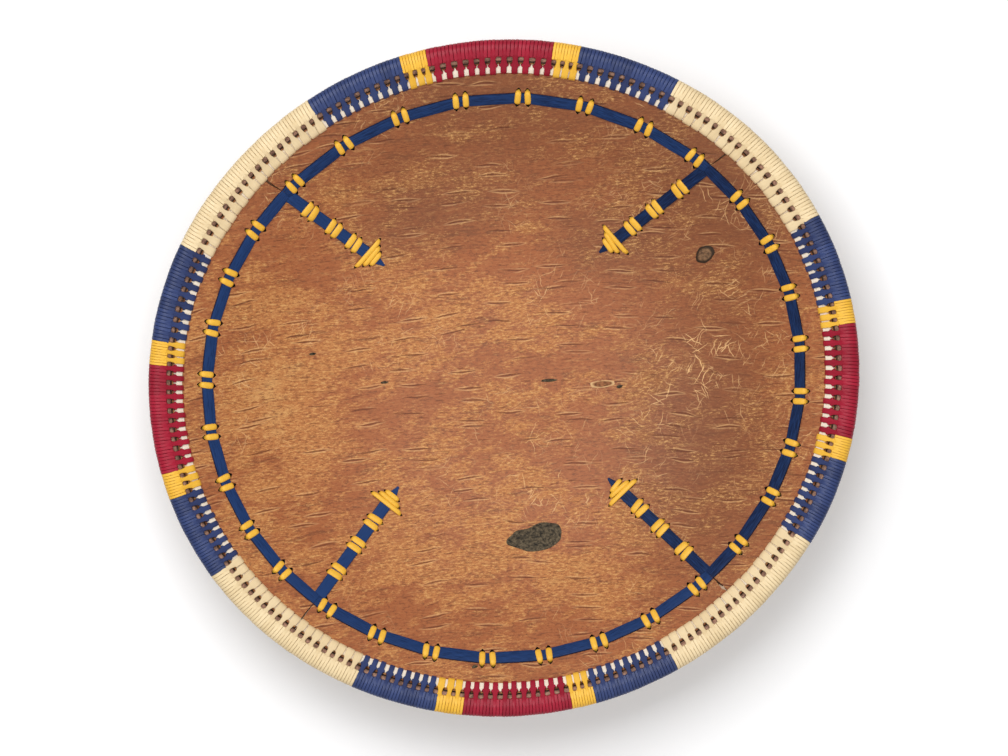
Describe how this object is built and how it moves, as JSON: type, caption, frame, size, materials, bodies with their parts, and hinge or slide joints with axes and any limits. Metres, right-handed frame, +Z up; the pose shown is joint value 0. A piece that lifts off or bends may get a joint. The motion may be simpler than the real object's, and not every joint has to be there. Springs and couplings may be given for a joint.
{
  "type": "birch bark basket",
  "caption": "Shallow round tray basket of birch bark with lapped darts, a root-lashed willow rim in bands of colour, and dyed root strips sewn round the inside.",
  "frame": {"origin": "middle of the base's underside, on the surface that the basket stands on", "axes": "+Z up, out of the basket's mouth; +X along the slightly longer way across the rim"},
  "size_m": [0.4308, 0.409, 0.0737],
  "materials": {
    "bark": "matt inner bark",
    "willow": "peeled, bare",
    "root_cream": "satin",
    "root_blue": "dyed, satin",
    "root_yellow": "dyed, satin",
    "root_red": "dyed, satin",
    "strip_blue": "dyed, satin"
  },
  "bodies": {
    "root": {"bark_tray": "bark", "rim_hoop": "willow", "edge_hoop": "willow", "binding_strip": "root_cream", "lashing_cream_1": "root_cream", "lashing_cream_2": "root_cream", "lashing_cream_3": "root_cream", "lashing_cream_4": "root_cream", "lashing_cream_5": "root_cream", "lashing_cream_6": "root_cream", "lashing_cream_7": "root_cream", "lashing_cream_8": "root_cream", "lashing_blue_1": "root_blue", "lashing_blue_2": "root_blue", "lashing_blue_3": "root_blue", "lashing_blue_4": "root_blue", "lashing_blue_5": "root_blue", "lashing_blue_6": "root_blue", "lashing_blue_7": "root_blue", "lashing_blue_8": "root_blue", "lashing_yellow_1": "root_yellow", "lashing_yellow_2": "root_yellow", "lashing_yellow_3": "root_yellow", "lashing_yellow_4": "root_yellow", "lashing_yellow_5": "root_yellow", "lashing_yellow_6": "root_yellow", "lashing_yellow_7": "root_yellow", "lashing_yellow_8": "root_yellow", "lashing_red_1": "root_red", "lashing_red_2": "root_red", "lashing_red_3": "root_red", "lashing_red_4": "root_red", "ring_strip_1": "strip_blue", "ring_strip_2": "strip_blue", "ring_strip_3": "strip_blue", "ring_strip_4": "strip_blue", "dart_strip_1": "strip_blue", "dart_strip_2": "strip_blue", "dart_strip_3": "strip_blue", "dart_strip_4": "strip_blue", "ring_stitching_1": "root_yellow", "ring_stitching_2": "root_yellow", "ring_stitching_3": "root_yellow", "ring_stitching_4": "root_yellow", "dart_stitching_1": "root_yellow", "dart_stitching_2": "root_yellow", "dart_stitching_3": "root_yellow", "dart_stitching_4": "root_yellow"}
  },
  "joints": []
}
